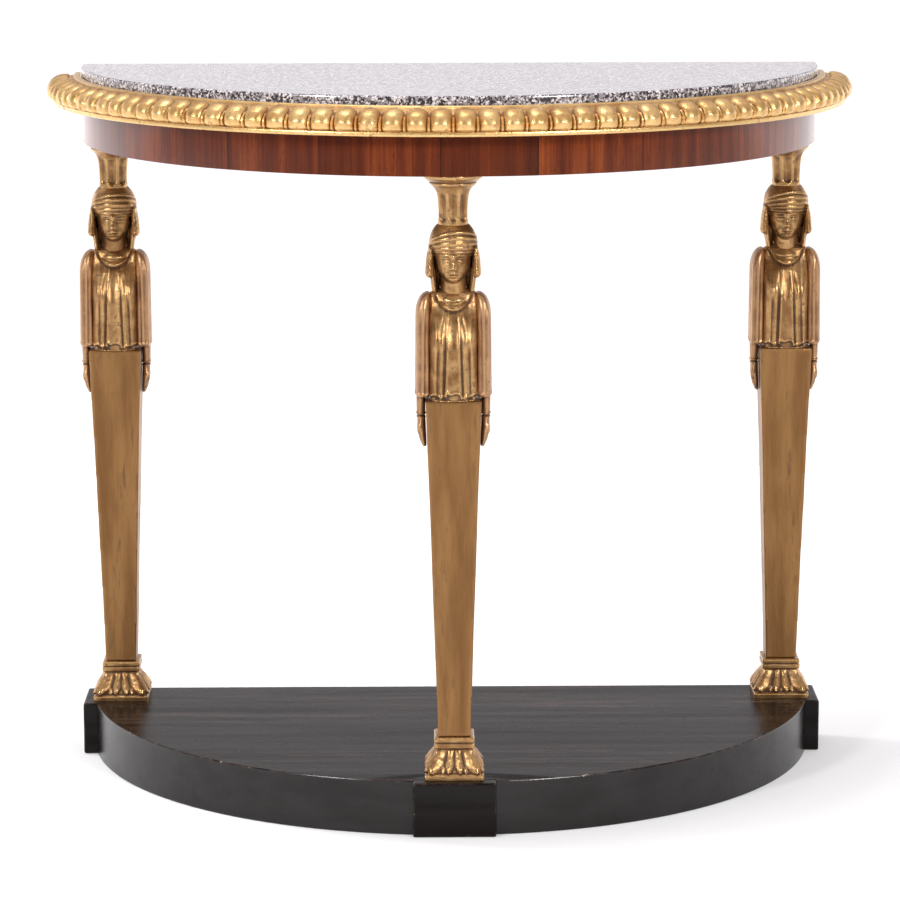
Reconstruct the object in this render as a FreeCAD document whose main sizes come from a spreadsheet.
import FreeCAD, Part
import math
import os
import Sketcher

# Half-round console table on three gilt herm legs, in millimetres.
# Z is up, the half circle bulges towards -Y and the flat back faces +Y.
# The origin is the middle of the footprint, on the floor.

DRIVING = {
    # The half round: frieze and plinth share one outer face
    "table_radius": 447.0,
    "glue_line": 0.1,
    # Loose stone slab
    "slab_thickness": 20.0,
    "slab_overhang": 2.0,
    "slab_gap": 2.0,
    "slab_arris": 1.5,
    # Gadrooned border
    "border_width": 42.0,
    "border_lip": 10.0,
    "lip_thickness": 4.0,
    "border_seat": 7.0,
    "border_fillet": 4.0,
    "border_segments": 4.0,
    "lobe_girth": 13.0,
    "lobe_relief": 7.0,
    "lobes_per_segment": 14.0,
    # Boards under the slab
    "subtop_thickness": 22.0,
    # Frieze
    "frieze_height": 48.0,
    "veneer_thickness": 1.0,
    "veneer_leaves": 10.0,
    "core_thickness": 22.0,
    "frieze_rail": 25.0,
    "medial_width": 22.0,
    # Legs, from the top down
    "leg_inset": 36.0,
    "capital_height": 53.0,
    "capital_width": 71.0,
    "capital_neck": 36.0,
    "flute_depth": 1.6,
    "torso_height": 118.0,
    "torso_width": 58.0,
    "torso_depth": 66.0,
    "pleat_depth": 2.4,
    "neck_height": 15.0,
    "neck_width": 28.0,
    "head_height": 69.0,
    "head_width": 52.0,
    "head_depth": 50.0,
    "lappet_width": 63.0,
    "shoulder_width": 86.0,
    "sleeve_depth": 40.0,
    "hand_drop": 57.0,
    "hand_thickness": 10.0,
    "shaft_height": 393.0,
    "shaft_top": 63.0,
    "shaft_foot": 39.0,
    "foot_height": 48.0,
    "foot_width": 68.0,
    "foot_neck": 41.0,
    "foot_collar": 46.6,
    "leaf_relief": 2.0,
    "tenon_width": 16.0,
    "tenon_depth": 30.0,
    "tenon_fit": 0.2,
    # Blocks that take the leg tenons
    "block_width": 84.0,
    "block_depth": 72.0,
    "glue_block": 26.0,
    # Plinth
    "plinth_height": 64.0,
    "plinth_board": 18.0,
    "rim_thickness": 24.0,
    "plinth_rail": 22.0,
    "front_pad_width": 96.0,
    "front_pad_proud": 9.0,
    "side_pad_depth": 80.0,
    "side_pad_proud": 10.0,
    "pad_housing": 9.0,
}

HALF_TURN = 180.0
UP = FreeCAD.Vector(0, 0, 1)
FLATNESS = 1e-6

doc = FreeCAD.newDocument("demilune_table")
sheet = doc.addObject("Spreadsheet::Sheet", "Dims")
for row, (alias, figure) in enumerate(DRIVING.items(), start=1):
    sheet.set(f"A{row}", alias)
    sheet.set(f"B{row}", str(figure))
    sheet.setAlias(f"B{row}", alias)
doc.recompute()


class Size:
    """A length held twice: the number, and the same sum as a formula over the sheet."""

    def __init__(self, number, formula):
        self.number = number
        self.formula = formula

    def __add__(self, other):
        other = as_size(other)
        return Size(self.number + other.number, f"({self.formula} + {other.formula})")

    def __sub__(self, other):
        other = as_size(other)
        return Size(self.number - other.number, f"({self.formula} - {other.formula})")

    def __mul__(self, other):
        other = as_size(other)
        return Size(self.number * other.number, f"({self.formula} * {other.formula})")

    def __truediv__(self, other):
        other = as_size(other)
        return Size(self.number / other.number, f"({self.formula} / {other.formula})")

    def __neg__(self):
        return self * -1


def as_size(value):
    """A plain number as a Size, and a Size as itself."""
    if isinstance(value, Size):
        return value
    return Size(float(value), f"({float(value)!r})")


def chord(radius, offset):
    """Half the chord of a circle at a distance from its centre."""
    square = radius * radius - offset * offset
    return Size(math.sqrt(square.number), f"sqrt{square.formula}")


def driving(alias):
    """One cell of the sheet."""
    return Size(float(sheet.get(alias)), f"Dims.{alias}")


size = {alias: driving(alias) for alias in DRIVING}

# Heights of the seats, from the floor up
plinth_top = size["plinth_height"]
foot_top = plinth_top + size["foot_height"]
shaft_top = foot_top + size["shaft_height"]
bust_height = size["torso_height"] + size["neck_height"] + size["head_height"]
bust_top = shaft_top + bust_height
frieze_foot = bust_top + size["capital_height"]
frieze_top = frieze_foot + size["frieze_height"]
slab_seat = frieze_top + size["subtop_thickness"]

# Radii of the half rounds and the line of the back
slab_radius = size["table_radius"] + size["slab_overhang"]
lip_radius = slab_radius + size["slab_gap"]
border_radius = lip_radius + size["border_width"]
web_radius = size["table_radius"] - size["border_seat"]
core_outer = size["table_radius"] - size["veneer_thickness"] - size["glue_line"]
core_inner = core_outer - size["core_thickness"]
rim_inner = size["table_radius"] - size["rim_thickness"]
leg_circle = size["table_radius"] - size["leg_inset"]
back = border_radius / 2

nodes = []


def name_node(item, label):
    """Give a finished sub-part its own name and list it for export."""
    item.Label = label
    nodes.append(item)
    return item


def place(item, x, y, z):
    """Bind the place of an object to the sheet."""
    for axis, value in (("x", x), ("y", y), ("z", z)):
        item.setExpression(f"Placement.Base.{axis}", as_size(value).formula)
    return item


def add_box(name, low, high):
    """A box between two corners."""
    box = doc.addObject("Part::Box", name)
    for prop, near, far in zip(("Length", "Width", "Height"), low, high):
        box.setExpression(prop, (as_size(far) - near).formula)
    return place(box, *low)


def add_half_disc(name, radius, foot, top):
    """A half-round board with its flat side on the line of the back."""
    disc = doc.addObject("Part::Cylinder", name)
    disc.setExpression("Radius", radius.formula)
    disc.setExpression("Height", (as_size(top) - foot).formula)
    disc.Angle = HALF_TURN
    disc.Placement.Rotation = FreeCAD.Rotation(UP, HALF_TURN)
    return place(disc, 0, back, foot)


def add_common(name, *items):
    """What two solids share."""
    common = doc.addObject("Part::Common", name)
    common.Base, common.Tool = items
    return common


def add_cut(name, base, *tools):
    """A solid with one or more others taken out of it, one after another."""
    for index, tool in enumerate(tools, start=1):
        cut = doc.addObject("Part::Cut", f"{name}_{index}")
        cut.Base, cut.Tool = base, tool
        base = cut
    return base


def add_group(name, items):
    """Several separate solids that share one node."""
    group = doc.addObject("Part::Compound", name)
    group.Links = items
    return group


def add_profile(body, name, corners):
    """A closed outline of straight lines in an upright plane, every corner bound to the sheet."""
    plane = next(item for item in body.Origin.OriginFeatures if item.Role == "XZ_Plane")
    sketch = body.newObject("Sketcher::SketchObject", name)
    sketch.AttachmentSupport = [(plane, "")]
    sketch.MapMode = "FlatFace"
    corners = [(as_size(x), as_size(z)) for x, z in corners]
    points = [FreeCAD.Vector(x.number, z.number, 0) for x, z in corners]
    for start, end in zip(points, points[1:] + points[:1]):
        sketch.addGeometry(Part.LineSegment(start, end), False)
    count = len(points)
    for line, (x, z) in enumerate(corners):
        sketch.addConstraint(Sketcher.Constraint("Coincident", line, 2, (line + 1) % count, 1))
        for kind, axis, value in (("DistanceX", -2, x), ("DistanceY", -1, z)):
            if value.number == 0:
                sketch.addConstraint(Sketcher.Constraint("PointOnObject", line, 1, axis))
                continue
            index = sketch.addConstraint(Sketcher.Constraint(kind, -1, 1, line, 1, value.number))
            sketch.setExpression(f"Constraints[{index}]", value.formula)
    return sketch


def add_turned(name, corners, start, sweep):
    """A profile turned about the upright axis of the half round."""
    body = doc.addObject("PartDesign::Body", name)
    sketch = add_profile(body, f"{name}_profile", corners)
    turning = body.newObject("PartDesign::Revolution", f"{name}_turning")
    turning.Profile = sketch
    turning.ReferenceAxis = (sketch, ["V_Axis"])
    turning.Angle = sweep
    body.Placement.Rotation = FreeCAD.Rotation(UP, HALF_TURN + start)
    return place(body, 0, back, 0)


def add_ring_piece(name, inner, outer, foot, top, start, sweep):
    """A curved piece of rectangular section."""
    corners = ((inner, foot), (outer, foot), (outer, top), (inner, top))
    return add_turned(name, corners, start, sweep)


# Solids with flat facets, the way a carver leaves them


def number(alias):
    """The plain value of a cell."""
    return size[alias].number


def flat_face(points):
    """A flat face inside a closed outline."""
    return Part.Face(Part.makePolygon(points + points[:1]))


def facets(near, next_near, next_far, far):
    """One four-sided facet where it is flat, and otherwise two three-sided ones."""
    normal = (next_near - near).cross(far - near)
    if abs((next_far - near).dot(normal)) < FLATNESS * normal.Length:
        return [flat_face([near, next_near, next_far, far])]
    return [flat_face([near, next_near, next_far]), flat_face([near, next_far, far])]


def carve(sections):
    """A solid skinned over a row of sections that have the same number of corners."""
    sections = list(sections)
    faces = [flat_face(sections[0]), flat_face(sections[-1])]
    for low, high in zip(sections, sections[1:]):
        for corners in zip(low, low[1:] + low[:1], high[1:] + high[:1], high):
            faces += facets(*corners)
    shell = Part.makeShell(faces)
    shell.sewShape()
    solid = Part.makeSolid(shell)
    if solid.Volume < 0:
        solid.reverse()
    return solid


# Stone slab


def make_slab():
    """The loose half-round slab with an eased upper edge."""
    top = slab_seat + size["slab_thickness"]
    eased = size["slab_arris"]
    corners = (
        (0, slab_seat),
        (slab_radius, slab_seat),
        (slab_radius, top - eased),
        (slab_radius - eased, top),
        (0, top),
    )
    name_node(add_turned("slab_body", corners, 0.0, HALF_TURN), "stone_slab")


# Gadrooned border

LOBE_ANGLES = (-62, -8, 46, 106)
LOBE_FLANK = (0.5, 0.78, 0.76, 0.3)
LOBE_REACH = 0.6
LOBE_SINK = 0.7


def border_section(turn, swell):
    """The border cut across at one angle: seat, lip and the lobed face between them.

    swell tells how far each point of the face stands out of its ground, from 0 to 1.
    """
    lip_top = (slab_seat + size["border_lip"]).number
    low, seat = frieze_top.number, slab_seat.number
    web, lip = web_radius.number, lip_radius.number
    reach = number("border_width") * LOBE_REACH
    girth, relief = number("lobe_girth"), number("lobe_relief")
    middle, heart = (low + lip_top) / 2, border_radius.number - reach
    face = []
    for angle, share in zip(LOBE_ANGLES, swell):
        out, rise = math.cos(math.radians(angle)), math.sin(math.radians(angle))
        sunk = relief * (1 - share)
        face.append((heart + (reach - sunk) * out, middle + (girth - sunk * LOBE_SINK) * rise))
    ledge = lip + number("lip_thickness")
    toe = face[0][0] - number("border_fillet") / 2
    rebate = [(ledge, lip_top), (lip, lip_top), (lip, seat)]
    outline = [(web, seat), (web, low), (toe, low), *face, *rebate]
    across, along = math.cos(turn), math.sin(turn)
    return [FreeCAD.Vector(radius * across, radius * along, height) for radius, height in outline]


def make_border():
    """Curved lengths of border, each with its own row of egg-shaped lobes."""
    segments = int(number("border_segments"))
    lobes = int(number("lobes_per_segment"))
    sweep = math.pi / segments
    valley = [0.0] * len(LOBE_ANGLES)
    crest = [1.0] * len(LOBE_ANGLES)
    rows = (valley, LOBE_FLANK, crest, LOBE_FLANK)
    stations = lobes * len(rows)
    for index in range(segments):
        sections = [
            border_section(math.pi + (index + step / stations) * sweep, rows[step % len(rows)])
            for step in range(stations + 1)
        ]
        label = f"border_length_{index + 1}"
        piece = doc.addObject("Part::Feature", label)
        piece.Shape = carve(sections)
        piece.Placement = FreeCAD.Placement(FreeCAD.Vector(0, back.number, 0), FreeCAD.Rotation())
        name_node(piece, label)


# Boards under the slab and on the plinth

PLANKS = ("rear", "middle", "front")


def make_planks(prefix, radius, foot, top, tools=()):
    """Boards of equal width, glued edge to edge and sawn to the half round."""
    wide = radius / len(PLANKS)
    for index, word in enumerate(PLANKS):
        near, far = wide * index, wide * (index + 1)
        name = f"{prefix}_{word}"
        disc = add_half_disc(f"{name}_disc", radius, foot, top)
        strip = add_box(f"{name}_strip", (-radius, back - far, foot), (radius, back - near, top))
        board = add_common(f"{name}_board", disc, strip)
        cutters = [make() for make in tools]
        name_node(add_cut(f"{name}_sawn", board, *cutters), name)


# Tenons and their sockets

LEGS = ("left", "centre", "right")


def leg_axis(leg):
    """Where a leg's upright axis stands."""
    if leg == "centre":
        return as_size(0), back - leg_circle
    side = -1 if leg == "left" else 1
    return leg_circle * side, back - size["leg_inset"]


def add_peg(name, leg, foot, top, spare):
    """A square peg on a leg's axis, or with spare room its socket."""
    x, y = leg_axis(leg)
    half = size["tenon_width"] / 2 + spare
    return add_box(name, (x - half, y - half, foot - spare), (x + half, y + half, top + spare))


def peg_spans():
    """Foot and top of each peg of a leg: through the foot, into the bust, through the capital."""
    depth = size["tenon_depth"]
    return {
        "ankle": (plinth_top - depth, foot_top + depth),
        "waist": (shaft_top - depth, shaft_top + depth),
        "crown": (bust_top - depth, frieze_foot + depth),
    }


def add_socket(owner, leg, peg):
    """The hole for one peg, to be taken out of one piece."""
    foot, top = peg_spans()[peg]
    return add_peg(f"{owner}_{leg}_{peg}_socket", leg, foot, top, size["tenon_fit"])


def make_tenons():
    """The loose tenons that pin each leg together and to the frame."""
    for leg in LEGS:
        pegs = [add_peg(f"{leg}_{peg}_peg", leg, *span, as_size(0)) for peg, span in peg_spans().items()]
        name_node(add_group(f"{leg}_pegs", pegs), f"{leg}_leg_tenons")


# Frieze

GLUE_BLOCK_ANGLES = (35, 62, 118, 145)


def make_frieze_core():
    """Curved bricks in two courses with staggered joints."""
    half = frieze_foot + size["frieze_height"] / 2
    courses = {"lower": (frieze_foot, half, (90, 90)), "upper": (half, frieze_top, (45, 90, 45))}
    for course, (foot, top, sweeps) in courses.items():
        start = 0
        for index, sweep in enumerate(sweeps, start=1):
            name = f"frieze_{course}_brick_{index}"
            brick = add_ring_piece(f"{name}_body", core_inner, core_outer, foot, top, start, sweep)
            name_node(brick, name)
            start += sweep


def make_veneer():
    """Upright-grained veneer leaves round the face of the frieze."""
    leaves = int(number("veneer_leaves"))
    sweep = HALF_TURN / leaves
    outer = size["table_radius"]
    inner = outer - size["veneer_thickness"]
    pieces = [
        add_ring_piece(f"leaf_{leaf + 1}", inner, outer, frieze_foot, frieze_top, leaf * sweep, sweep)
        for leaf in range(leaves)
    ]
    name_node(add_group("leaves", pieces), "frieze_veneer")


def make_rail(label, radius, thickness, foot, top):
    """The straight back rail between the two ends of a curved wall."""
    reach = chord(radius, thickness) - size["glue_line"]
    rail = add_box(f"{label}_box", (-reach, back - thickness, foot), (reach, back, top))
    name_node(rail, label)


def make_leg_blocks(prefix, radius, rail, foot, top, peg):
    """The blocks behind a curved wall that take the tenons of the legs."""
    wide, deep = size["block_width"], size["block_depth"]
    reach = radius - size["glue_line"]
    for leg in LEGS:
        label = f"{prefix}_{leg}_block"
        if leg == "centre":
            low = (-wide / 2, back - reach, foot)
            high = (wide / 2, back - reach + deep, top)
        else:
            side = -1 if leg == "left" else 1
            ends = sorted((reach * side, (reach - deep) * side), key=lambda end: end.number)
            low = (ends[0], back - rail - wide, foot)
            high = (ends[1], back - rail, top)
        blank = add_box(f"{label}_blank", low, high)
        disc = add_half_disc(f"{label}_disc", reach, foot, top)
        fitted = add_common(f"{label}_fitted", blank, disc)
        name_node(add_cut(f"{label}_cut", fitted, add_socket(label, leg, peg)), label)


def make_medial_rail():
    """The rail from the back of the frieze to the block behind its front."""
    half = size["medial_width"] / 2
    front = back - (core_inner - size["glue_line"]) + size["block_depth"]
    rear = back - size["frieze_rail"]
    rail = add_box("medial_box", (-half, front, frieze_foot), (half, rear, frieze_top))
    name_node(rail, "frieze_medial_rail")


def make_glue_blocks(label, radius, top):
    """Square blocks rubbed into the corner between a curved wall and the boards above it."""
    half = size["glue_block"] / 2
    reach = chord(radius - size["glue_line"], half)
    blocks = []
    for angle in GLUE_BLOCK_ANGLES:
        name = f"{label}_{angle}"
        block = doc.addObject("Part::Box", name)
        for prop in ("Length", "Width", "Height"):
            block.setExpression(prop, size["glue_block"].formula)
        turn = FreeCAD.Rotation(UP, HALF_TURN + angle)
        corner = turn.multVec(FreeCAD.Vector((reach - half * 2).number, -half.number, 0))
        base = corner + FreeCAD.Vector(0, back.number, (top - half * 2).number)
        block.Placement = FreeCAD.Placement(base, turn)
        blocks.append(block)
    name_node(add_group(f"{label}_group", blocks), label)


# Carved legs

CUT_PAST = 1.0


def oval(height, half_width, front, rear, sides=10, power=2.4):
    """A rounded section: front and rear are its reach from the axis towards -Y and +Y."""
    points = []
    for index in range(sides):
        turn = 2 * math.pi * (index + 0.5) / sides
        across, along = math.cos(turn), math.sin(turn)
        x = half_width * math.copysign(abs(across) ** (2 / power), across)
        reach = rear if along > 0 else front
        y = reach * math.copysign(abs(along) ** (2 / power), along)
        points.append(FreeCAD.Vector(x, y, height))
    return points


def panel(height, x_low, x_high, front, rear, corner):
    """A rectangular section with two cut corners on its outer side."""
    corners = (
        (x_low, -front),
        (x_high - corner, -front),
        (x_high, -front + corner),
        (x_high, rear - corner),
        (x_high - corner, rear),
        (x_low, rear),
    )
    return [FreeCAD.Vector(x, y, height) for x, y in corners]


def socket_shape(foot, top):
    """The hole for a peg in a piece that is carved about its own axis."""
    wide = (size["tenon_width"] + size["tenon_fit"] * 2).number
    return Part.makeBox(wide, wide, top - foot, FreeCAD.Vector(-wide / 2, -wide / 2, foot))


def torso_section(height, width_share, front_share, pleat_share):
    """The dress across the body: a middle pleat and smaller folds at its sides."""
    half = number("torso_width") / 2 * width_share
    deep = number("torso_depth") / 2 * front_share
    fold = number("pleat_depth") * pleat_share
    folds = ((0.2, 1.0), (0.3, -0.7), (0.48, 0.6), (0.62, -0.5), (0.8, 0.4))
    front = [(half * x, -deep * (1 - 0.3 * x * x) - fold * out) for x, out in folds]
    side = [(half, -deep * 0.5), (half, deep * 0.45), (half * 0.8, deep * 0.8), (half * 0.3, deep * 0.9)]
    right = front + side
    left = [(-x, y) for x, y in reversed(right)]
    return [FreeCAD.Vector(x, y, height) for x, y in right + left]


def carve_torso():
    """The dressed body from its hem to the root of the neck."""
    high = number("torso_height")
    stations = (
        (0.0, 1.0, 1.06, 1.0),
        (0.35, 1.0, 1.0, 0.8),
        (0.62, 1.0, 1.07, 0.5),
        (0.8, 1.0, 0.95, 0.25),
        (0.93, 1.0, 0.76, 0.1),
        (1.0, 0.78, 0.58, 0.1),
    )
    return carve(torso_section(high * at, wide, deep, fold) for at, wide, deep, fold in stations)


def carve_neck_and_collar():
    """The neck, and the broad collar that lies on the chest."""
    chest, neck = number("torso_height"), number("neck_height")
    thick = number("neck_width") / 2
    wide, deep = number("torso_width") / 2, number("torso_depth") / 2
    stem = carve(oval(height, thick, thick, thick) for height in (chest * 0.94, chest + neck * 1.6))
    collar = carve(
        (
            oval(chest * 0.88, wide * 0.86, deep * 0.93, deep * 0.7),
            oval(chest * 0.9, wide * 0.9, deep * 0.95, deep * 0.72),
            oval(chest + neck * 0.2, wide * 0.58, deep * 0.56, deep * 0.5),
        )
    )
    return stem, collar


def carve_head():
    """A plain egg-shaped face with a straight nose, half of the head standing out of its cloth."""
    chin = number("torso_height") + number("neck_height")
    high, wide, deep = number("head_height"), number("head_width") / 2, number("head_depth") / 2
    face = carve(
        (
            oval(chin, wide * 0.3, deep * 0.84, deep * 0.2),
            oval(chin + high * 0.1, wide * 0.54, deep * 0.99, deep * 0.3),
            oval(chin + high * 0.3, wide * 0.7, deep * 1.05, deep * 0.3),
            oval(chin + high * 0.5, wide * 0.73, deep * 1.03, deep * 0.3),
            oval(chin + high * 0.62, wide * 0.72, deep * 0.98, deep * 0.3),
        )
    )
    nose = carve(
        (
            panel(chin + high * 0.23, -wide * 0.09, wide * 0.09, deep * 1.2, 0, wide * 0.03),
            panel(chin + high * 0.45, -wide * 0.05, wide * 0.05, deep * 1.06, 0, wide * 0.02),
        )
    )
    return face, nose


def carve_head_cloth():
    """The wrapped head-cloth: a cap, a fall behind the neck and two lappets on each side."""
    shoulder = number("torso_height")
    chin = shoulder + number("neck_height")
    high, wide, deep = number("head_height"), number("head_width") / 2, number("head_depth") / 2
    flare = number("lappet_width") / 2
    seat = number("capital_neck") / 2
    cap = carve(
        (
            oval(chin + high * 0.52, wide * 0.99, deep * 1.02, deep * 0.96, 12),
            oval(chin + high * 0.64, wide * 1.01, deep * 1.06, deep, 12),
            oval(chin + high * 0.8, wide * 0.98, deep, deep * 0.98, 12),
            oval(chin + high * 0.92, wide * 0.86, deep * 0.88, deep * 0.86, 12),
            oval(chin + high, seat, seat, seat, 12),
        )
    )
    fall = carve(
        (
            panel(shoulder * 0.98, -wide * 0.9, wide * 0.9, -deep * 0.1, deep * 0.72, wide * 0.2),
            panel(chin + high * 0.6, -wide * 0.96, wide * 0.96, -deep * 0.1, deep * 0.9, wide * 0.2),
        )
    )
    upper = carve(
        (
            panel(chin + high * 0.08, wide * 0.76, flare * 0.94, deep * 0.62, deep * 0.5, wide * 0.12),
            panel(chin + high * 0.13, wide * 0.76, flare, deep * 0.68, deep * 0.54, wide * 0.14),
            panel(chin + high * 0.57, wide * 0.7, wide * 1.0, deep * 0.66, deep * 0.5, wide * 0.12),
        )
    )
    lower = carve(
        (
            panel(shoulder * 0.98, wide * 0.66, wide * 0.9, deep * 0.6, deep * 0.4, wide * 0.08),
            panel(chin + high * 0.12, wide * 0.66, wide * 0.96, deep * 0.56, deep * 0.4, wide * 0.08),
        )
    )
    sides = [
        lappet if side > 0 else lappet.mirror(FreeCAD.Vector(), FreeCAD.Vector(1, 0, 0))
        for lappet in (upper, lower)
        for side in (1, -1)
    ]
    return [cap, fall] + sides


def carve_bust():
    """Head, cloth, collar and dressed body, carved from one block about the leg's axis."""
    whole = carve_torso().fuse([*carve_neck_and_collar(), *carve_head(), *carve_head_cloth()])
    depth = (size["tenon_depth"] + size["tenon_fit"]).number
    high = bust_height.number
    sockets = [socket_shape(-CUT_PAST, depth), socket_shape(high - depth, high + CUT_PAST)]
    return whole.removeSplitter().cut(sockets)


def carve_arm():
    """A sleeve glued to the side of the body, with its hand hanging beside the shaft."""
    inner, outer = number("torso_width") / 2, number("shoulder_width") / 2
    high, deep = number("torso_height"), number("sleeve_depth") / 2
    drop, thick = number("hand_drop"), number("hand_thickness")
    thin = outer - inner
    sleeve = carve(
        panel(high * at, inner, inner + thin * wide, deep * reach, deep * reach, thin * 0.3 * wide)
        for at, wide, reach in (
            (0.025, 1.0, 0.96),
            (0.5, 1.02, 1.0),
            (0.82, 0.98, 0.98),
            (0.92, 0.72, 0.84),
            (0.985, 0.3, 0.6),
        )
    )
    slope = (number("shaft_top") - number("shaft_foot")) / 2 / number("shaft_height")
    clear = number("shaft_top") / 2 + number("glue_line")

    def hand_section(at, wide, reach):
        """A section of the forearm or hand, its flat side along the shaft."""
        side = clear - max(0.0, drop * at) * slope
        return panel(-drop * at, side, side + thick * wide, deep * reach, deep * reach, thick * 0.22 * wide)

    stations = (
        (-0.12, 1.0, 0.46),
        (0.36, 0.98, 0.42),
        (0.4, 1.06, 0.5),
        (0.68, 0.9, 0.56),
        (1.0, 0.38, 0.34),
    )
    hand = carve(hand_section(*station) for station in stations)
    return sleeve.fuse(hand).removeSplitter()


FLUTES = 8
FLUTE_HALF = 0.28


def fluted_section(height, radius, depth):
    """A round section with flutes all round it."""
    points = []
    for flute in range(FLUTES):
        for share, dip in ((-FLUTE_HALF, 0.0), (0.0, depth), (FLUTE_HALF, 0.0)):
            turn = 2 * math.pi * (flute + share) / FLUTES - math.pi / 2
            reach = radius - dip
            points.append(FreeCAD.Vector(reach * math.cos(turn), reach * math.sin(turn), height))
    return points


def carve_capital():
    """A fluted neck that sweeps out to a dish under the frieze."""
    high = number("capital_height")
    neck, dish, flute = number("capital_neck") / 2, number("capital_width") / 2, number("flute_depth")
    stations = (
        (0.0, neck * 0.97, 0.0),
        (0.13, neck * 0.97, flute),
        (0.56, neck * 1.02, flute),
        (0.68, neck + (dish - neck) * 0.22, flute * 0.3),
        (0.78, neck + (dish - neck) * 0.58, 0.0),
        (0.93, dish * 0.98, 0.0),
        (1.0, dish, 0.0),
    )
    whole = carve(fluted_section(high * at, radius, dip) for at, radius, dip in stations)
    return whole.cut(socket_shape(-CUT_PAST, high + CUT_PAST))


def leaf_section(height, half, relief):
    """A square section with a leaf swelling in the middle of each side and one round each corner."""
    side = ((-1.0, 0.4), (-0.45, -0.3), (0.0, 1.0), (0.45, -0.3))
    points = []
    for quarter in range(4):
        turn = FreeCAD.Rotation(UP, quarter * 90.0)
        for along, out in side:
            points.append(turn.multVec(FreeCAD.Vector(half * along, -half - relief * out, height)))
    return points


def carve_foot():
    """A square base, a flare of leaves and a small collar under the shaft."""
    high, relief = number("foot_height"), number("leaf_relief")
    base, neck, collar = number("foot_width") / 2, number("foot_neck") / 2, number("foot_collar") / 2
    spread = base - neck
    stations = (
        (0.0, base, 0.0),
        (0.15, base, 0.0),
        (0.2, neck + spread * 0.84, 0.6),
        (0.4, neck + spread * 0.5, 1.0),
        (0.58, neck + spread * 0.14, 0.6),
        (0.72, neck, 0.0),
        (0.78, collar, 0.0),
        (0.94, collar, 0.0),
        (1.0, collar * 0.9, 0.0),
    )
    whole = carve(leaf_section(high * at, half, relief * swell) for at, half, swell in stations)
    return whole.cut(socket_shape(-CUT_PAST, high + CUT_PAST))


def add_carving(label, shape, leg, foot):
    """A carved piece stood on a leg's axis."""
    x, y = leg_axis(leg)
    piece = doc.addObject("Part::Feature", label)
    piece.Shape = shape
    base = FreeCAD.Vector(x.number, y.number, foot.number)
    piece.Placement = FreeCAD.Placement(base, FreeCAD.Rotation())
    return name_node(piece, label)


def make_shaft(leg):
    """The plain tapered shaft of a leg, square in section, with a socket at each end."""
    x, y = leg_axis(leg)
    wedge = doc.addObject("Part::Wedge", f"{leg}_shaft_blank")
    narrow, wide = size["shaft_foot"] / 2, size["shaft_top"] / 2
    bounds = {
        "Xmin": -narrow,
        "Xmax": narrow,
        "Zmin": -narrow,
        "Zmax": narrow,
        "X2min": -wide,
        "X2max": wide,
        "Z2min": -wide,
        "Z2max": wide,
        "Ymin": as_size(0),
        "Ymax": size["shaft_height"],
    }
    for prop, value in bounds.items():
        wedge.setExpression(prop, value.formula)
    wedge.Placement.Rotation = FreeCAD.Rotation(FreeCAD.Vector(1, 0, 0), 90.0)
    place(wedge, x, y, foot_top)
    label = f"{leg}_shaft"
    sockets = (add_socket(label, leg, "ankle"), add_socket(label, leg, "waist"))
    name_node(add_cut(f"{label}_cut", wedge, *sockets), label)


def make_legs():
    """Three alike legs, every one facing the front."""
    capital, bust, arm, foot = carve_capital(), carve_bust(), carve_arm(), carve_foot()
    other_arm = arm.mirror(FreeCAD.Vector(), FreeCAD.Vector(1, 0, 0))
    for leg in LEGS:
        add_carving(f"{leg}_capital", capital.copy(), leg, bust_top)
        add_carving(f"{leg}_bust", bust.copy(), leg, shaft_top)
        add_carving(f"{leg}_figure_right_arm", other_arm.copy(), leg, shaft_top)
        add_carving(f"{leg}_figure_left_arm", arm.copy(), leg, shaft_top)
        make_shaft(leg)
        add_carving(f"{leg}_foot", foot.copy(), leg, plinth_top)
    make_tenons()


# Plinth


def pad_corners(leg):
    """Low and high corners of the pad that carries the outer edge of a foot."""
    radius, housing = size["table_radius"], size["pad_housing"]
    if leg == "centre":
        half = size["front_pad_width"] / 2
        front = back - radius - size["front_pad_proud"]
        return (-half, front, as_size(0)), (half, back - radius + housing, plinth_top)
    inner = chord(radius, size["side_pad_depth"]) - housing
    outer = radius + size["side_pad_proud"]
    ends = (inner, outer) if leg == "right" else (-outer, -inner)
    return (ends[0], back - size["side_pad_depth"], as_size(0)), (ends[1], back, plinth_top)


def add_pad(owner, leg):
    """A pad, as a piece or as the housing cut for it."""
    return add_box(f"{owner}_{leg}_pad", *pad_corners(leg))


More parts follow.
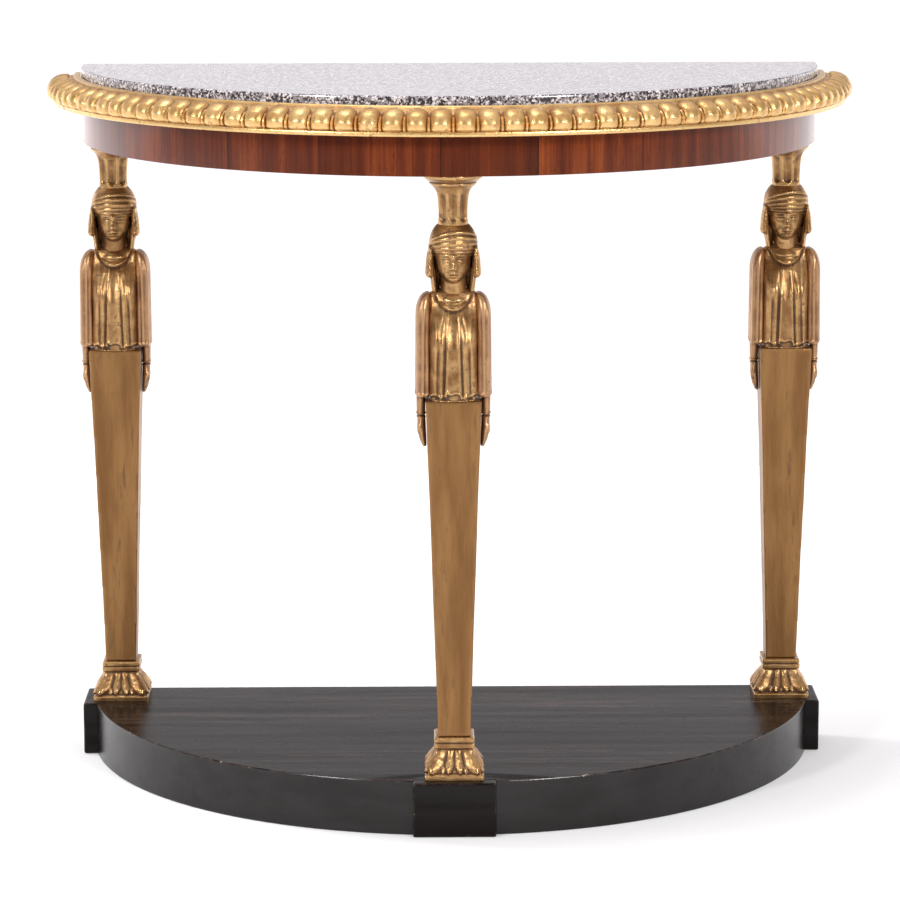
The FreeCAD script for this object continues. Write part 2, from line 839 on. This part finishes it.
def make_plinth():
    """A hollow half-round box on the floor, with a pad under the outer edge of each foot."""
    board_foot = plinth_top - size["plinth_board"]
    for leg in LEGS:
        name_node(add_pad("plinth", leg), f"plinth_{leg}_pad")
    rims = {
        "left_rear": "left",
        "left_front": "centre",
        "right_front": "centre",
        "right_rear": "right",
    }
    outer = size["table_radius"]
    sweep = HALF_TURN / len(rims)
    for index, (word, leg) in enumerate(rims.items()):
        label = f"plinth_rim_{word}"
        span = (index * sweep, sweep)
        rim = add_ring_piece(f"{label}_body", rim_inner, outer, as_size(0), board_foot, *span)
        name_node(add_cut(f"{label}_housed", rim, add_pad(label, leg)), label)
    make_rail("plinth_back_rail", rim_inner, size["plinth_rail"], as_size(0), board_foot)
    make_leg_blocks("plinth", rim_inner, size["plinth_rail"], as_size(0), board_foot, "ankle")
    make_glue_blocks("plinth_glue_blocks", rim_inner, board_foot)
    cutters = [lambda leg=leg: add_pad("board", leg) for leg in LEGS]
    cutters += [lambda leg=leg: add_socket("board", leg, "ankle") for leg in LEGS]
    make_planks("plinth_board", outer, board_foot, plinth_top, cutters)


def check_and_export():
    """Stop at the first piece that failed, then write one file for each node."""
    doc.recompute()
    for item in doc.Objects:
        failed = {"Invalid", "Error"} & set(item.State)
        if failed:
            raise RuntimeError(f"{item.Label} did not build: {item.State}")
    for item in nodes:
        if item.Shape.isNull() or not item.Shape.isValid() or not item.Shape.Solids:
            raise RuntimeError(f"{item.Label} is not a sound solid")
    os.makedirs("parts", exist_ok=True)
    for item in nodes:
        item.Shape.exportStep(f"parts/{item.Label}.step")
        print(f"{item.Label}: {len(item.Shape.Solids)} solid(s), {item.Shape.Volume / 1000:.1f} cm3")


make_slab()
make_border()
make_planks("subtop", web_radius - size["glue_line"], frieze_top, slab_seat)
make_frieze_core()
make_veneer()
make_rail("frieze_back_rail", core_inner, size["frieze_rail"], frieze_foot, frieze_top)
make_leg_blocks("frieze", core_inner, size["frieze_rail"], frieze_foot, frieze_top, "crown")
make_medial_rail()
make_glue_blocks("frieze_glue_blocks", core_inner, frieze_top)
make_legs()
make_plinth()
check_and_export()
